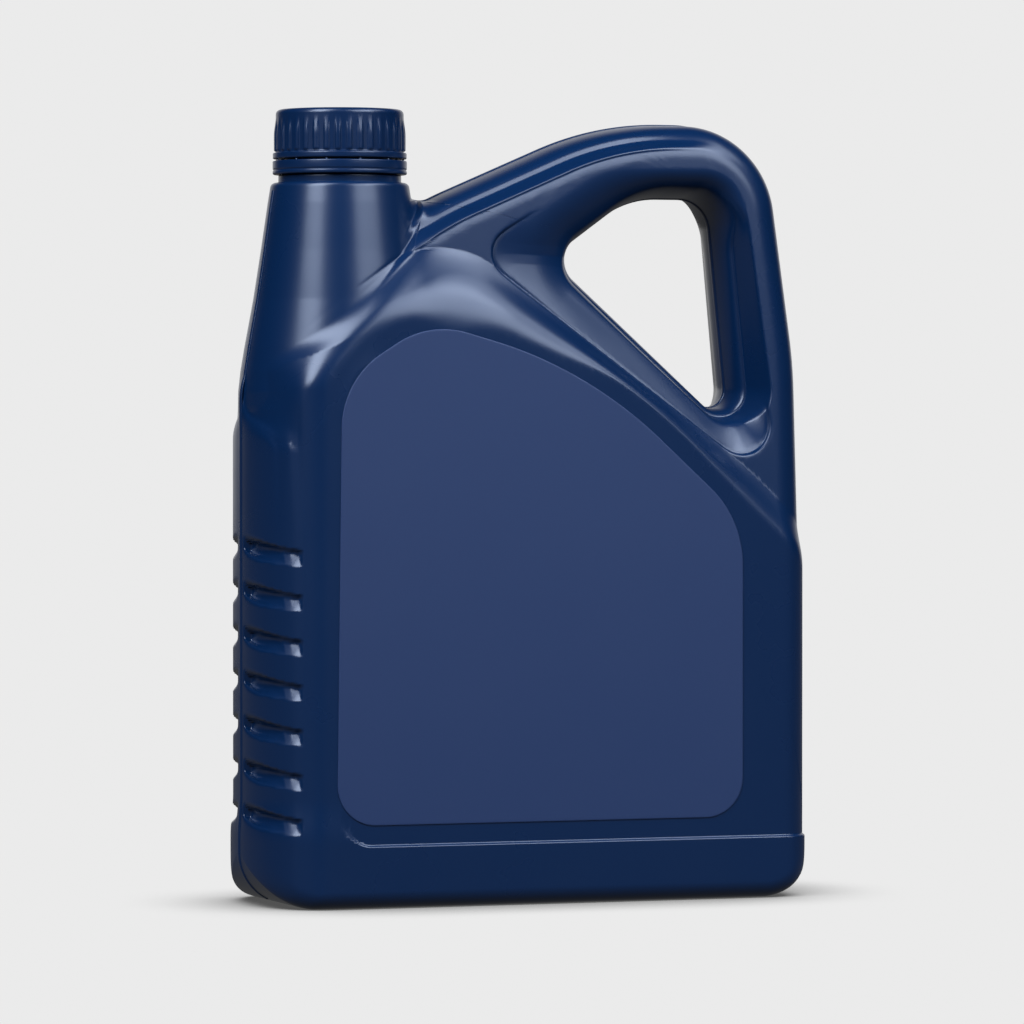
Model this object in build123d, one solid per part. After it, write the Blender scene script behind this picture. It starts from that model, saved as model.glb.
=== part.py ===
"""Four litre motor oil bottle: one blow-moulded jerrycan with a built-in handle,
a blank front label, and a ribbed screw cap over a tamper-evident band.

Frame: millimetres, +Z up, origin on the floor under the middle of the bottle.
The label faces -Y, the neck stands towards -X and the handle towards +X.
The mould parts along the plane Y = 0, so both faces are mirror images.
"""
from build123d import *
import math
import os

beyond = 400.0             # cutters and construction blocks reach this far

# Body, overall
wall = 1.2                 # blown wall of the bottle
half_width = 115.6         # walls above the foot, in X
half_depth = 41.0          # flat front and back panels, in Y
arch_top = 314.3           # top of the handle arch
foot_height = 25.0         # plinth that the bottle stands on
foot_step = 0.9            # how far the plinth stands out of the walls
foot_round = 7.0           # rounding under the front and back of the plinth
foot_corner = 21.0         # rounding under its left and right ends
push_up = 4.0              # rise of the base inside the standing rim
push_up_slope = 8.0        # its sides slope over this width
push_up_corner = 14.0      # its corners, seen from below
standing_rim = 7.0         # width of the flat rim that it stands on

# Horizontal section
side_ellipse = 26.0        # the left side is half an ellipse, this deep in X
corner_radius = 22.0       # upright corners on the right
keel = 1.2                 # draft of the right side out to the parting line

# Upper slab, which holds the arch and the grip
slab_depth_low = 35.5      # half depth where the grip leaves the body
slab_height = 164.3        # it reaches this far below the top of the arch
slab_depth_top = 24.5      # half depth at the top of the arch
arch_round = 11.0          # rounding along the outline of the arch

# Handle hole and the hollow around it
hole_wall_half = 13.0      # half depth of the straight wall of the hole
hollow_half = 29.0         # half depth at which the hollow starts

# Raised front
bevel_half = 31.0          # half depth at the foot of the bevel

# Grooves on the left side
groove_count = 7
groove_top_drop = 173.3    # middle of the top groove, below the top of the arch
groove_foot_gap = 10.4     # middle of the lowest groove, above the plinth
groove_depth = 3.2
groove_tall = 8.6          # beside the parting line
groove_low = 5.4           # at its rounded front end
groove_drop = 4.6          # how far it falls towards the front
groove_start = 3.2         # plain strip each side of the parting line
groove_end = 36.5          # front end, measured in Y
groove_reach = 24.0        # how far from the side it may cut, in X

# Label
label_thick = 0.25
label_sink = 0.12          # set this deep into the panel
label_foot_gap = 8.1       # its lower edge, above the plinth
label_corner = 16.0        # its lower corners

# Neck
neck_inset = 41.9          # its axis, from the left side
cone_top_drop = 25.1       # shoulder, below the top of the arch
cone_top_radius = 27.4
cone_mid_drop = 56.4       # from here on, drops are below the shoulder
cone_mid_radius = 36.5
cone_low_drop = 76.2
cone_low_radius = 40.0
cone_root_drop = 139.2     # inside the body
cone_flare = 60.0          # rounding where the cone flares out
shoulder_round = 2.2
neck_height = 26.4
neck_bore = 20.4
neck_wall = 2.0
ring_height = 3.1          # collar at the root of the neck
ring_radius = 24.7
bead_proud = 1.9           # bead that holds the band down
bead_height = 0.6
edge_round = 0.5           # small edges of the neck, band and cap

# Tamper-evident band
band_clearance = 0.2
band_height = 5.5
band_radius = 27.0
band_inner = 24.9
lip_inner = 23.3
lip_height = 1.2
bridge_count = 12
bridge_width = 1.2
bridge_depth = 0.8
slit = 0.8                 # open gap between band and cap
bridge_gap = 0.15          # the bridges stop this far below the cap

# Cap
cap_plate = 1.8
cap_wall = 1.8
cap_root_radius = 25.7     # between the ribs
cap_rib_radius = 26.6
cap_edge_round = 2.0
flange_radius = 26.9
flange_height = 2.4
rib_count = 36
rib_width = 1.9
rib_foot_gap = 0.4         # above the flange
rib_top_gap = 4.8          # below the top of the cap
liner_thick = 1.2
liner_clearance = 0.4

# Heights, radii and places that follow
neck_x = neck_inset - half_width
cone_top_z = arch_top - cone_top_drop
slab_low_z = arch_top - slab_height
groove_top_z = arch_top - groove_top_drop
groove_low_z = foot_height + groove_foot_gap
groove_pitch = (groove_top_z - groove_low_z) / (groove_count - 1)
neck_radius = neck_bore + neck_wall
neck_top_z = cone_top_z + neck_height
ring_top_z = cone_top_z + ring_height
band_bottom_z = ring_top_z + band_clearance
band_top_z = band_bottom_z + band_height
cap_bottom_z = band_top_z + slit
cap_top_z = neck_top_z + liner_thick + cap_plate
cap_bore = cap_root_radius - cap_wall
bead_radius = neck_radius + bead_proud


def below_arch(points):
    """Corners (x, z, fillet radius) from (x, drop, radius): the drop is taken from the
    top of the arch, x and the radius are shares of the half width."""
    return [(x * half_width, arch_top - drop, radius * half_width) for x, drop, radius in points]


# Outlines seen from the front: (x, z, fillet radius)
body_outline = [
    (-half_width, 0, foot_corner),
    *below_arch([
        (-1.0, 99.3, 0.277),
        (-0.4516, 37.9, 1.15),
        (0.3114, 0, 1.15),
        (0.9048, 0, 0.337),
        (1.0, 97.3, 1.73),
    ]),
    (half_width, 0, foot_corner),
]
hole_outline = below_arch([
    (0.1254, 55.0, 0.078),
    (0.4273, 29.8, 0.346),
    (0.7318, 29.8, 0.121),
    (0.8183, 126.5, 0.065),
])
hollow_outline = below_arch([
    (-0.2275, 52.6, 0.087),
    (0.2612, 18.1, 0.346),
    (0.7768, 18.1, 0.138),
    (0.8858, 148.3, 0.104),
])
bevel_foot = [
    (-1.3 * half_width, -foot_height, 0),
    *below_arch([
        (-1.3, 137.4, 0),
        (-0.3452, 43.5, 0.346),
        (0.7725, 139.7, 0.865),
        (1.3, 198.3, 0),
    ]),
    (1.3 * half_width, -foot_height, 0),
]
bevel_top = [
    (-1.3 * half_width, -foot_height, 0),
    *below_arch([
        (-1.3, 139.1, 0),
        (-0.4109, 65.0, 0.502),
        (0.3408, 105.9, 2.16),
        (1.3, 211.3, 0),
    ]),
    (1.3 * half_width, -foot_height, 0),
]
label_foot = foot_height + label_foot_gap
label_outline = [
    (-0.7656 * half_width, label_foot, label_corner),
    *below_arch([
        (-0.7439, 112.8, 0.216),
        (-0.4524, 82.1, 0.242),
        (0.1574, 100.2, 1.557),
        (0.7327, 160.6, 0.363),
    ]),
    (0.7327 * half_width, label_foot, label_corner),
]


def corner_arc(before, corner, after, radius):
    """Start, middle and end of the arc that rounds one corner."""
    here = Vector(*corner)
    to_before = (Vector(*before) - here).normalized()
    to_after = (Vector(*after) - here).normalized()
    half_angle = math.radians(to_before.get_angle(to_after)) / 2
    run = radius / math.tan(half_angle)
    to_centre = (to_before + to_after).normalized()
    middle = here + to_centre * (radius / math.sin(half_angle) - radius)
    return here + to_before * run, middle, here + to_after * run


def rounded_face(outline, grow=0.0):
    """Flat face of an outline given as (x, z, fillet radius), grown all round."""
    count = len(outline)
    ends = []
    edges = []
    for i, (x, z, radius) in enumerate(outline):
        before = outline[i - 1][:2]
        after = outline[(i + 1) % count][:2]
        if radius:
            start, middle, end = corner_arc(before, (x, z), after, radius)
            edges.append(ThreePointArc(start, middle, end))
            ends.append((start, end))
        else:
            ends.append((Vector(x, z), Vector(x, z)))
    for i in range(count):
        edges.append(Line(ends[i - 1][1], ends[i][0]))
    face = make_face(edges)
    return offset(face, grow, kind=Kind.ARC) if grow else face


def front_slab(face, y_from, y_to):
    """Extrude a face seen from the front, from one Y to another."""
    return extrude(Plane.XZ.offset(-y_from) * face, y_from - y_to)


def both_halves(front):
    """A front half and its mirror image behind the parting plane."""
    return front + mirror(front, about=Plane.XZ)


def section_face(inset=0.0):
    """Horizontal section: half an ellipse on the left, round corners on the right."""
    depth = half_depth - inset
    left = -half_width + side_ellipse
    right = half_width - keel - inset
    corner = max(corner_radius - inset, 1.0)
    flat_end = depth - corner
    ellipse = EllipticalCenterArc((left, 0), side_ellipse - inset, depth, 90, arc_size=180)
    edges = [
        ellipse,
        Line((left, -depth), (right - corner, -depth)),
        CenterArc((right - corner, -flat_end), corner, 270, 90),
        Line((right, -flat_end), (right + keel, 0)),
        Line((right + keel, 0), (right, flat_end)),
        CenterArc((right - corner, flat_end), corner, 0, 90),
        Line((right - corner, depth), (left, depth)),
    ]
    return make_face(edges)


def section_prism(inset=0.0):
    """Endless upright block with the bottle's horizontal section."""
    return extrude(Plane.XY * section_face(inset), beyond, both=True)


def side_slab(points):
    """Symmetrical block with its half profile given as (half depth, z), seen from the side."""
    mirrored = [(-y, z) for y, z in reversed(points)]
    face = make_face(Polyline(points + mirrored, close=True))
    return extrude(Plane.YZ * face, beyond, both=True)


def lean_half(z, inset=0.0):
    """Half depth of the upper slab at a height: its two faces lean together."""
    share = (z - slab_low_z) / (arch_top - slab_low_z)
    return slab_depth_low + share * (slab_depth_top - slab_depth_low) - inset


def upper_slab(inset=0.0):
    """The arch and grip: the body outline between two leaning faces, edges rounded."""
    outline = rounded_face(body_outline, -inset)
    block = extrude(Plane.XZ * outline, beyond, both=True)
    wedge = side_slab([(lean_half(0, inset), 0), (lean_half(beyond, inset), beyond)])
    slab = block & wedge
    rims = slab.edges().filter_by(lambda edge: abs(edge.center().Y) > slab_depth_top / 2)
    return fillet(rims, arch_round - inset)


def handle_cut(inset=0.0):
    """The handle hole, and the hollow that narrows into it from each side."""
    hole = rounded_face(hole_outline, inset)
    hollow = rounded_face(hollow_outline, inset)
    through = front_slab(hole, hole_wall_half, -hole_wall_half)
    inner = Plane.XZ.offset(hole_wall_half - inset) * hole
    outer = Plane.XZ.offset(hollow_half - inset) * hollow
    funnel = loft([inner, outer], ruled=True)
    mouth = front_slab(hollow, -(hollow_half - inset), -beyond)
    return through + both_halves(funnel + mouth)


def raised_front(inset=0.0):
    """The flat panel with its bevel, standing out of the slab on both faces."""
    foot = rounded_face(bevel_foot, -inset)
    top = rounded_face(bevel_top, -inset)
    base = front_slab(foot, 0, -(bevel_half - inset))
    low = Plane.XZ.offset(bevel_half - inset) * foot
    high = Plane.XZ.offset(half_depth - inset) * top
    return both_halves(base + loft([low, high], ruled=True))


def turned(profile):
    """Solid of revolution about the neck's axis, from (radius, z, fillet radius)."""
    return Pos(neck_x, 0, 0) * revolve(Plane.XZ * rounded_face(profile), Axis.Z)


def cone(inset=0.0):
    """Round shoulder that narrows from the body up to the neck."""
    return turned([
        (0, cone_top_z - cone_root_drop, 0),
        (cone_low_radius - inset, cone_top_z - cone_root_drop, 0),
        (cone_low_radius - inset, cone_top_z - cone_low_drop, cone_flare),
        (cone_mid_radius - inset, cone_top_z - cone_mid_drop, cone_flare),
        (cone_top_radius - inset, cone_top_z - inset, shoulder_round),
        (0, cone_top_z - inset, 0),
    ])


def plinth(inset=0.0):
    """Foot of the bottle, a step proud of the walls, rounded underneath."""
    grow = foot_step - inset
    depth = half_depth + grow
    outline = rounded_face(body_outline, grow)
    block = extrude(Plane.XZ * outline, beyond, both=True)
    profile = [
        (-depth, inset, foot_round - inset),
        (-depth, foot_height - inset, 0),
        (depth, foot_height - inset, 0),
        (depth, inset, foot_round - inset),
    ]
    rounded = extrude(Plane.YZ * rounded_face(profile), beyond, both=True)
    return block & rounded & section_prism(-grow)


def groove(z, inset=0.0):
    """Cutter of one groove on the front half: it tapers and falls towards the front."""
    tall = groove_tall / 2 + inset
    low = groove_low / 2 + inset
    end = groove_end + inset
    start = groove_start - inset
    profile = Polyline(
        (-start, z + tall),
        (-end + low, z - groove_drop + low),
        (-end, z - groove_drop),
        (-end + low, z - groove_drop - low),
        (-start, z - tall),
        close=True,
    )
    outside = Plane.YZ.offset(-half_width - groove_reach)
    return extrude(outside * make_face(profile), 2 * groove_reach)


def grooves(inset=0.0):
    """All the grooves, on both halves of the left side."""
    cuts = [groove(groove_top_z - i * groove_pitch, inset) for i in range(groove_count)]
    front = cuts[0] + cuts[1:]
    return both_halves(front) - section_prism(groove_depth + inset)


def dome_face(shrink):
    """Rounded rectangle inside the standing rim."""
    length = 2 * (half_width - foot_corner - standing_rim - shrink)
    width = 2 * (half_depth - foot_round - standing_rim - shrink)
    return RectangleRounded(length, width, push_up_corner - shrink)


def base_dome(inset=0.0):
    """Shallow rise of the base inside its standing rim."""
    rim = dome_face(-inset)
    top = Plane.XY.offset(push_up + inset) * dome_face(push_up_slope - inset)
    below = extrude(Plane.XY.offset(-push_up) * rim, push_up)
    return loft([Plane.XY * rim, top], ruled=True) + below


def body_form(inset=0.0):
    """Outer form of the bottle, or the space inside it when inset by the wall."""
    upper = (upper_slab(inset) - handle_cut(inset)) & section_prism(inset)
    outline = extrude(Plane.XZ * rounded_face(body_outline, -inset), beyond, both=True)
    front = raised_front(inset) & section_prism(inset) & outline
    form = upper + front + cone(inset) + plinth(inset)
    return form - grooves(inset) - base_dome(inset)


def neck_tube():
    """Neck with its collar and the bead that holds the band, open at the top."""
    root = cone_top_z - wall
    bead_z = band_bottom_z + lip_height + band_inner - lip_inner + band_clearance
    return turned([
        (neck_bore, root, 0),
        (ring_radius, root, 0),
        (ring_radius, ring_top_z, edge_round),
        (neck_radius, ring_top_z, 0),
        (neck_radius, bead_z, 0),
        (bead_radius, bead_z, 0),
        (bead_radius, bead_z + bead_height, 0),
        (neck_radius, bead_z + bead_height + bead_proud, 0),
        (neck_radius, neck_top_z, edge_round),
        (neck_bore, neck_top_z, edge_round),
    ])


def neck_hole():
    """Passage from the mouth down into the bottle."""
    low = cone_top_z - 2 * wall
    high = neck_top_z + wall
    return Pos(neck_x, 0, (low + high) / 2) * Cylinder(neck_bore, high - low)


def label():
    """Thin blank label on the front panel."""
    inside = -(half_depth - label_sink)
    return front_slab(rounded_face(label_outline), inside, inside - label_thick)


def bottle():
    """The whole blow moulding in one piece: skin, hollow handle and neck."""
    shell = body_form() - body_form(wall)
    return shell + neck_tube() - neck_hole() - label()


def cap_ribs():
    """Upright grip ribs round the skirt, each with a round tip."""
    low = cap_bottom_z + flange_height + rib_foot_gap
    high = cap_top_z - rib_top_gap
    tip = rib_width / 2
    root = cap_root_radius - cap_wall / 2
    ribs = []
    centre = cap_rib_radius - tip
    bar = Pos((root + centre) / 2, 0) * Rectangle(centre - root, rib_width)
    rib = extrude(bar + Pos(centre, 0) * Circle(tip), high - low)
    for i in range(rib_count):
        ribs.append(Pos(neck_x, 0, low) * Rot(0, 0, i * 360 / rib_count) * rib)
    return ribs


def cap():
    """Screw cap: a cup with a rounded top edge, grip ribs and a flange at its foot."""
    flange_top = cap_bottom_z + flange_height
    cup = turned([
        (0, cap_top_z, 0),
        (cap_root_radius, cap_top_z, cap_edge_round),
        (cap_root_radius, flange_top, 0),
        (flange_radius, flange_top, edge_round),
        (flange_radius, cap_bottom_z, edge_round),
        (cap_bore, cap_bottom_z, 0),
        (cap_bore, cap_top_z - cap_plate, 0),
        (0, cap_top_z - cap_plate, 0),
    ])
    return cup + cap_ribs()


def cap_liner():
    """Sealing wad between the cap and the rim of the neck."""
    radius = cap_bore - liner_clearance
    return Pos(neck_x, 0, neck_top_z + liner_thick / 2) * Cylinder(radius, liner_thick)


def tamper_band():
    """Band left on the neck, with a snap lip inside and broken bridge stubs on top."""
    ring = turned([
        (band_inner, band_top_z, 0),
        (band_radius, band_top_z, edge_round),
        (band_radius, band_bottom_z, edge_round),
        (lip_inner, band_bottom_z, 0),
        (lip_inner, band_bottom_z + lip_height, 0),
        (band_inner, band_bottom_z + lip_height + band_inner - lip_inner, 0),
    ])
    height = slit - bridge_gap
    middle = (band_inner + band_radius) / 2
    stub = Pos(middle, 0, band_top_z + height / 2) * Box(bridge_depth, bridge_width, height)
    stubs = [Pos(neck_x, 0, 0) * Rot(0, 0, i * 360 / bridge_count) * stub for i in range(bridge_count)]
    return ring + stubs


parts = {
    "bottle": bottle(),
    "label": label(),
    "cap": cap(),
    "cap_liner": cap_liner(),
    "tamper_band": tamper_band(),
}

os.makedirs("parts", exist_ok=True)
for name, solid in parts.items():
    export_step(solid, f"parts/{name}.step")
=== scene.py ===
"""Looks of the motor oil bottle: a blow-moulded skin, label film, neck finish, band and cap.

Lengths are millimetres until a mesh is made. +Z is up and the label faces -Y, as in the frame.
The skin is the surface y = -h(x, z) and its mirror image, where h is the half depth of the
moulding behind each point of its front view.
"""
import math

import bpy
import numpy as np
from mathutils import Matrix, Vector


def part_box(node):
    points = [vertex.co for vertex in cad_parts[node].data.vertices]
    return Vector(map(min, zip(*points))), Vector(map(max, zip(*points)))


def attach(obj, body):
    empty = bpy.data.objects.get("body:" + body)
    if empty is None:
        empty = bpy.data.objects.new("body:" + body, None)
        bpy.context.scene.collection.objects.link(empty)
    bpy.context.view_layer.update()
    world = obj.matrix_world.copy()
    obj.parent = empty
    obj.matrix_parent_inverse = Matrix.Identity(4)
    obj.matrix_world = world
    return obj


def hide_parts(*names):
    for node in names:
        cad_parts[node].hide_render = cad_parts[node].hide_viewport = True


bl_info = {
    "name": "Motor oil bottle",
    "version": (1, 0, 0),
    "blender": (4, 2, 0),
    "location": "View3D > Sidebar > Bottle",
    "description": "Builds the looks of the motor oil bottle round its frame",
    "category": "Object",
}

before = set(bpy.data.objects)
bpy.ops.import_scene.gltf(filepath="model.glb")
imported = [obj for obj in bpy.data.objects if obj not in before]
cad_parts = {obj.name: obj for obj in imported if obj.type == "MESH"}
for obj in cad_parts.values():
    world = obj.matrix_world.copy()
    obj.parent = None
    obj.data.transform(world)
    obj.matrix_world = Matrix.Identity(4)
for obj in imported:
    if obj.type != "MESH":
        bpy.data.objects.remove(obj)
MM = 0.001


def frame_box(node):
    """Lowest and highest corner of a node of the frame, in millimetres."""
    low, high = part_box(node)
    return np.array(low) / MM, np.array(high) / MM


bottle_low, bottle_high = frame_box("bottle")
cap_low, cap_high = frame_box("cap")
band_low, band_high = frame_box("tamper_band")
liner_low, liner_high = frame_box("cap_liner")
label_low, label_high = frame_box("label")

# Body
FOOT_STEP = 0.9            # the plinth stands this far out of the walls
HALF_WIDTH = (bottle_high[0] - bottle_low[0]) / 2 - FOOT_STEP
HALF_DEPTH = (bottle_high[1] - bottle_low[1]) / 2 - FOOT_STEP
PLINTH_HALF = HALF_WIDTH + FOOT_STEP
NECK_TOP = bottle_high[2]
ARCH_TOP = NECK_TOP - 1.3
SIDE_TOP = 203.0           # the side ends here and the cone begins
FOOT_HEIGHT = 25.0
FOOT_CORNER = 21.0         # rounding under the left and right ends
FOOT_ROUND = 7.0           # rounding under the front and back
SIDE_ELLIPSE = 26.0        # the left side is half an ellipse, this deep in X
RIGHT_ROUND = 13.0         # upright corners on the right
GRIP_ROUND = 13.5          # the same, above the raised front
KEEL = 0.5                 # draft of the right side
OUTLINE_ROUND = 18.0       # rounding of the raised front towards the outline

# Underside
RIM = 7.0                  # width of the standing rim
PUSH_UP = 4.0              # rise of the underside inside the rim
PUSH_UP_CORNER = 14.0
PUSH_UP_SLOPE = 8.0        # width that the rise takes

# Ledge over the plinth
LEDGE_LEFT = -86.0         # its left end, where it curls up into the side
LEDGE_CURL = 12.0          # radius of the curl
LEDGE_BLUR = 0.9           # width of the step along the ledge
LEDGE_SOFTER = 2.4         # how much wider the step gets in the curl
LEDGE_FADE = 18.0          # height over which the curl fades out

# Neck and shoulder
NECK_X = (cap_low[0] + cap_high[0]) / 2
SHOULDER = NECK_TOP - 26.4
SHOULDER_ROUND = 2.2
RING_Z = SHOULDER - SHOULDER_ROUND   # top of the cone
CONE = [(0.0, 27.4), (0.9, 27.8), (8.2, 29.0), (27.4, 31.8), (46.7, 34.8), (66.1, 38.4),
        (75.7, 40.0), (84.0, 40.9), (91.0, 41.0), (98.0, 40.2), (106.0, 38.2), (116.0, 34.6),
        (135.0, 26.0), (400.0, 20.0)]   # drop below the shoulder, radius
CONE_BLEND = 6.0           # rounding between the cone and the slab
RING_RADIUS = 24.7
RING_HEIGHT = 3.1
NECK_RADIUS = 22.4
NECK_BORE = 20.4
VALLEY = 11.0              # reach of the fillet between cone and arch
VALLEY_TOP = SHOULDER - 2.4   # the fillet starts at this height
VALLEY_START = 5.0         # and has its full reach this far below it
VALLEY_FADE = 12.0         # it ends this far inside the outline

# Upper slab, with the arch and the grip
SLAB_DROP = 164.3
SLAB_LOW = 35.5
SLAB_TOP = 24.5
LIP_ROUND = 5.4            # rounding of the outer edge
LIP_STEP = 7.4             # depth of the two ledges behind it
LIP = [(0, 0), (5.0, 0), (6.9, 0.45), (8.4, 4.3), (9.6, 6.9), (10.3, 7.35), (11.0, 7.0),
       (11.9, 7.2), (14.0, LIP_STEP), (20.0, LIP_STEP)]   # inward from the outline, height
LIP_BLUR = 0.3             # softness of its corners

# Hollow round the handle hole
HOLE_HALF = 13.0           # half depth of the moulding round the hole
HOLE_ROUND = 4.0           # rounding of the hole's rim
HOLE_SLOPE = 4             # rise of the wall past that rounding
HOLLOW_STEP = 1.2          # the hollow starts this far behind the face
HOLLOW_SOFT = 4.0          # its corners are softened over this reach
HOLLOW_EXIT = 2.5          # rise of the cut outside the hollow's outline
FUNNEL_BEND = 0.45         # power that bends the floor down towards the hole
TUBE_ROUND = 5.0           # rounding of the rim where the floor is round like a tube
CREASE_DEEP = 0.25         # fine crease round the hollow and along the bevel's foot
CREASE_WIDE = 0.8

# Raised front
BEVEL_LEAST = 4.0          # least width of the bevel
BEVEL_SINK = 0.45          # how much its lower part sinks towards a soft start
BEVEL_TOP_ROUND = 0.3      # share of the bevel that rounds into the face
BEVEL_TOP_SOFTER = 0.35    # added to that share near the middle
FACE_ROUND = 3.0           # rounding where the front leaves the form behind it

# Where one form fades into the next: start and reach in X or Z
GRIP_X = (42.0, 42.0)                 # stepped lip into round grip
BESIDE_CONE_X = (-106.0, 24.0)        # side into slab
SIDE_X = (-100.0, 16.0)               # side into raised front
CONE_FOOT_Z = (SIDE_TOP - 22, 26.0)   # side into cone
ROUNDER_Z = (SIDE_TOP + 3, 24.0)      # elliptic side into the cone's section
TUBE_X = (-24.0, 28.0)                # funnel into tube, over the hole
TUBE_Z = (225.0, 35.0)                # the same in height, at the middle given next
TUBE_MIDDLE = 30.0
TUBE_TILT = 0.4                       # fall of that height to the right
TUBE_END_X = (62.0, 16.0)             # tube back into funnel, at the right of the hole
TUBE_END_Z = (262.0, 24.0)
SOFT_FRONT_X = (-62.0, 30.0)          # crisp start of the raised front into a soft one
SOFT_TOP_X = (5.0, 30.0)              # soft upper edge of its bevel back into a crisp one
CREASE_X = (-58.0, 22.0)              # end of the crease along the bevel's foot

# Grip grooves in the left side
GROOVES = 7
GROOVE_DEPTH = 3.3         # the depth that the floor below is drawn for
GROOVE_TOP = ARCH_TOP - 169.5
GROOVE_LOW = FOOT_HEIGHT + 13.2
GROOVE_TALL = 4.6          # half height beside the parting line
GROOVE_END_TALL = 3.3      # half height at the front end
GROOVE_DROP = 5.6          # fall from the parting line to the front end
GROOVE_END = 36.8          # depth in Y at the front end
GROOVE_ROOF = 1.4          # height over which the upper edge turns in
GROOVE_SILL = 4.0          # height over which the lower edge turns in
GROOVE_SLOPE = 1.3         # height of the sloping floor at the front end, in half heights
GROOVE_TILT = (0.6, 0.25)  # where the floor starts to slope, and over what share of the way
GROOVE_FLOOR = [(0, 0), (0.10, 3.3), (3.2, 4.0), (4.1, 9.5), (6.1, 18.5), (8.8, 27.5), (10.6, 30.2),
                (13.6, 33.4), (14.2, 36.3), (14.8, 60), (26, 60)]   # in from the side, half depth

# Cap, band and thread
RIB_ROOT = 1.2             # the wall between the ribs lies this far inside the flange
CAP_WALL = 1.8
CAP_TOP = 1.8              # thickness of the cap's top
CAP_DISH = 0.35            # depth of the shallow dish in it
FLANGE_HIGH = 2.4          # flange round the cap's foot
BAND_WALL = 2.1
BEAD_Z = band_low[2] + 3.0 # lower face of the bead that holds the band
BEAD_PROUD = 1.9
THREAD_Z = BEAD_Z + 5.2    # start of the thread
THREAD_TURNS = 1.6


def below_arch(points):
    """Corners (x, z, radius) from (x, drop, radius), with x and radius as shares of the half width."""
    return [(x * HALF_WIDTH, ARCH_TOP - drop, r * HALF_WIDTH) for x, drop, r in points]


body_outline = [
    (-HALF_WIDTH, -200, 0),
    *below_arch([
        (-1.0, 99.3, 0.277),
        (-0.4516, 37.9, 1.15),
        (0.3114, 0, 1.15),
        (0.9048, 0, 0.337),
        (1.0, 97.3, 1.73),
    ]),
    (HALF_WIDTH, -200, 0),
]
hole_outline = below_arch([
    (0.1254, 55.0, 0.078),
    (0.4273, 29.8, 0.346),
    (0.7318, 29.8, 0.121),
    (0.8183, 126.5, 0.065),
])
hollow_outline = below_arch([
    (-0.2275, 52.6, 0.087),
    (0.2612, 18.1, 0.346),
    (0.7768, 18.1, 0.138),
    (0.8858, 148.3, 0.104),
])
bevel_foot = [
    (-0.95 * HALF_WIDTH, -60, 0),
    *below_arch([
        (-0.95, 95.5, 0.12),
        (-0.76, 74.7, 0.9),
        (-0.3452, 42.2, 0.346),
        (0.7725, 139.7, 0.865),
        (1.3, 198.3, 0),
    ]),
    (1.3 * HALF_WIDTH, -60, 0),
]
bevel_top = [
    (-0.888 * HALF_WIDTH, -60, 0),
    *below_arch([
        (-0.888, 102.6, 0.2),
        (-0.38, 63.4, 0.53),
        (0.3408, 105.9, 2.16),
        (1.3, 211.3, 0),
    ]),
    (1.3 * HALF_WIDTH, -60, 0),
]
label_outline = [
    (-0.7656 * HALF_WIDTH, FOOT_HEIGHT + 8.1, 16),
    *below_arch([
        (-0.747, 104.5, 0.31),
        (-0.43, 81.0, 0.32),
        (0.1574, 100.2, 1.557),
        (0.7327, 160.6, 0.363),
    ]),
    (0.7327 * HALF_WIDTH, FOOT_HEIGHT + 8.1, 16),
]


class BottleSizes(bpy.types.PropertyGroup):
    """Sizes and colour of the moulding."""
    groove_depth: bpy.props.FloatProperty(
        name="Groove depth", description="Depth of the grip grooves in the side",
        default=GROOVE_DEPTH * MM, min=0, max=0.005, unit="LENGTH")
    parting_width: bpy.props.FloatProperty(
        name="Parting line", description="Width of the mould's parting line",
        default=0.003, min=0.0002, max=0.005, unit="LENGTH")
    parting_proud: bpy.props.FloatProperty(
        name="Parting height", description="Height of the parting line",
        default=0.00045, min=0, max=0.001, unit="LENGTH")
    ledge: bpy.props.FloatProperty(
        name="Plinth step", description="How far the plinth stands out",
        default=FOOT_STEP * MM, min=0, max=0.002, unit="LENGTH")
    colour: bpy.props.FloatVectorProperty(
        name="Colour", description="Colour of the polyethylene",
        subtype="COLOR", default=(0.001, 0.0145, 0.05))
    roughness: bpy.props.FloatProperty(
        name="Roughness", description="Satin finish of the polyethylene",
        subtype="FACTOR", default=0.28, min=0, max=1)


class LabelSizes(bpy.types.PropertyGroup):
    """Sizes and colour of the blank label."""
    edge: bpy.props.FloatProperty(
        name="Edge", description="Rounding of the film's edge",
        default=0.00035, min=0.00002, max=0.0006, unit="LENGTH")
    colour: bpy.props.FloatVectorProperty(
        name="Colour", description="Colour of the film",
        subtype="COLOR", default=(0.0085, 0.0255, 0.08))
    roughness: bpy.props.FloatProperty(
        name="Roughness", description="Finish of the film",
        subtype="FACTOR", default=0.5, min=0, max=1)


class CapSizes(bpy.types.PropertyGroup):
    """Sizes and colour of the cap and its band."""
    ribs: bpy.props.IntProperty(
        name="Ribs", description="Number of grip ribs", default=36, min=12, max=90)
    rib_height: bpy.props.FloatProperty(
        name="Rib height", description="How far the ribs stand out",
        default=0.00075, min=0.0002, max=0.002, unit="LENGTH")
    bridges: bpy.props.IntProperty(
        name="Bridges", description="Number of broken bridges on the band", default=12, min=4, max=24)
    thread_pitch: bpy.props.FloatProperty(
        name="Thread pitch", description="Rise of the thread in one turn",
        default=0.006, min=0.002, max=0.008, unit="LENGTH")
    colour: bpy.props.FloatVectorProperty(
        name="Colour", description="Colour of the polypropylene",
        subtype="COLOR", default=(0.001, 0.0135, 0.047))
    roughness: bpy.props.FloatProperty(
        name="Roughness", description="Satin finish of the polypropylene",
        subtype="FACTOR", default=0.28, min=0, max=1)


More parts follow.
